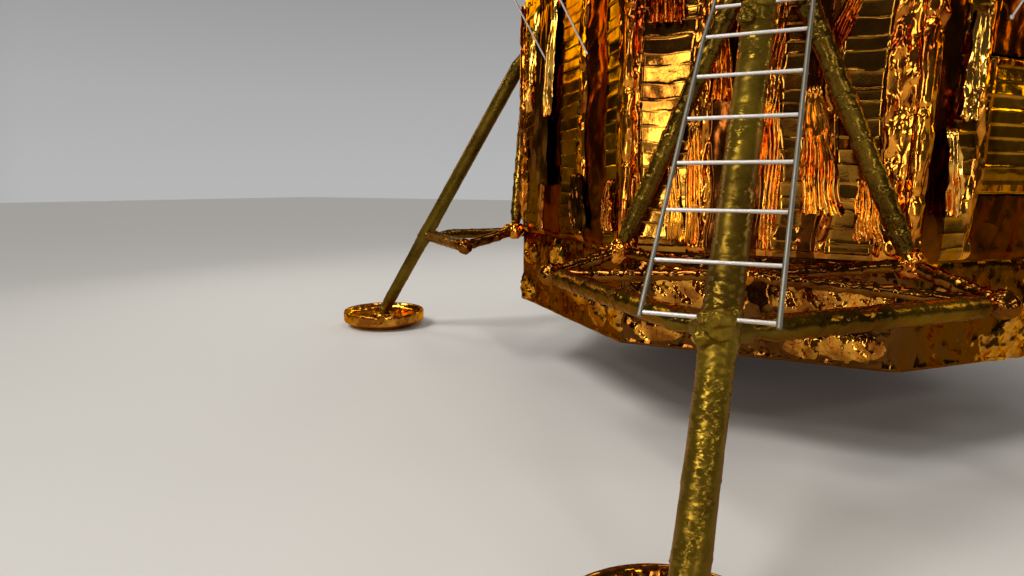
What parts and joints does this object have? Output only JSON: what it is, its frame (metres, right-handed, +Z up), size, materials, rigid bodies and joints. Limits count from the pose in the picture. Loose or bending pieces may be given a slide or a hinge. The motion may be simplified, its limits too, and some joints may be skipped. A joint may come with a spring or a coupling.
{
  "type": "lunar lander",
  "caption": "Two-stage crewed lunar lander on a foil-wrapped strut gear, with ladder, porch, hatches, thruster clusters and steerable dishes.",
  "frame": {"origin": "on the ground, on the lander's vertical axis, midway between the four footpads", "axes": "+Z up, -Y towards the leg with the ladder, +X to the right of someone who faces the ladder"},
  "size_m": [9.42, 9.42, 6.9849],
  "materials": {
    "gold_film": "crinkled aluminised film, amber and gold",
    "amber_film": "crinkled aluminised film, deep amber",
    "olive_film": "wrapped aluminised film, olive gold",
    "bare_aluminium": "satin, drawn tube",
    "grey_panel": "anodised panel, matt",
    "black_panel": "matt black",
    "white_paint": "white, matt",
    "nozzle_metal": "dark, heat treated",
    "window_glass": "smoked"
  },
  "bodies": {
    "lander": {"engine_bay": "amber_film", "tank_bays": "amber_film", "corner_bays": "amber_film", "equipment_bay": "amber_film", "corner_rolls": "amber_film", "upper_deck": "black_panel", "base_skirt": "gold_film", "descent_engine": "nozzle_metal", "engine_bell": "nozzle_metal", "fuel_cask": "white_paint", "plume_deflectors": "grey_panel", "deflector_rods": "bare_aluminium", "porch": "bare_aluminium", "porch_rails": "bare_aluminium", "side_struts": "olive_film", "ladder_rails": "bare_aluminium", "ladder_rungs": "bare_aluminium", "ladder_brackets": "olive_film", "cabin_drum": "grey_panel", "cabin_face": "grey_panel", "window_panes": "window_glass", "mid_cabin": "grey_panel", "docking_tunnel": "black_panel", "hatch_hinge": "bare_aluminium", "engine_cover": "white_paint", "ascent_engine": "nozzle_metal", "tank_bulge_right": "black_panel", "tank_bulge_left": "black_panel", "aft_bay": "black_panel", "stage_posts": "gold_film", "thruster_clusters": "nozzle_metal", "thruster_arms": "grey_panel", "radar_pedestal": "amber_film", "antenna_mast": "grey_panel", "whip_antennas": "white_paint", "main_strut_front": "olive_film", "footpad_front": "gold_film", "gear_truss_front": "amber_film", "main_strut_right": "olive_film", "footpad_right": "gold_film", "gear_truss_right": "amber_film", "main_strut_rear": "olive_film", "footpad_rear": "gold_film", "gear_truss_rear": "amber_film", "main_strut_left": "olive_film", "footpad_left": "gold_film", "gear_truss_left": "amber_film"},
    "front_hatch": {"front_hatch": "grey_panel"},
    "top_hatch": {"top_hatch": "grey_panel"},
    "equipment_tray": {"equipment_tray": "gold_film"},
    "radar_fork": {"radar_fork": "bare_aluminium"},
    "radar_dish": {"radar_dish": "white_paint"},
    "antenna_fork": {"antenna_fork": "bare_aluminium"},
    "antenna_dish": {"antenna_dish": "white_paint"}
  },
  "joints": [
    {"name": "front_hatch_hinge", "type": "hinge", "parent": "lander", "child": "front_hatch", "pos_m": [-0.443, -1.6797, 4.08], "axis": [0, 0, 1], "range_deg": [0, 85]},
    {"name": "top_hatch_hinge", "type": "hinge", "parent": "lander", "child": "top_hatch", "pos_m": [0, 0.464, 5.7697], "axis": [1, 0, 0], "range_deg": [0, 75]},
    {"name": "equipment_tray_hinge", "type": "hinge", "parent": "lander", "child": "equipment_tray", "pos_m": [1.41303, -1.41303, 1.644], "axis": [0.7071, 0.7071, 0], "range_deg": [0, 90]},
    {"name": "radar_turn", "type": "hinge", "parent": "lander", "child": "radar_fork", "pos_m": [0, -1.06, 6.3], "axis": [0, 0, 1], "range_deg": [-70, 70]},
    {"name": "radar_tilt", "type": "hinge", "parent": "radar_fork", "child": "radar_dish", "pos_m": [0, -1.06, 6.68], "axis": [1, 0, 0], "range_deg": [-60, 60]},
    {"name": "antenna_turn", "type": "hinge", "parent": "lander", "child": "antenna_fork", "pos_m": [-0.9, 0, 6.16], "axis": [0, 0, 1], "range_deg": [-85, 85]},
    {"name": "antenna_tilt", "type": "hinge", "parent": "antenna_fork", "child": "antenna_dish", "pos_m": [-0.9, 0, 6.56], "axis": [1, 0, 0], "range_deg": [-85, 20]}
  ]
}
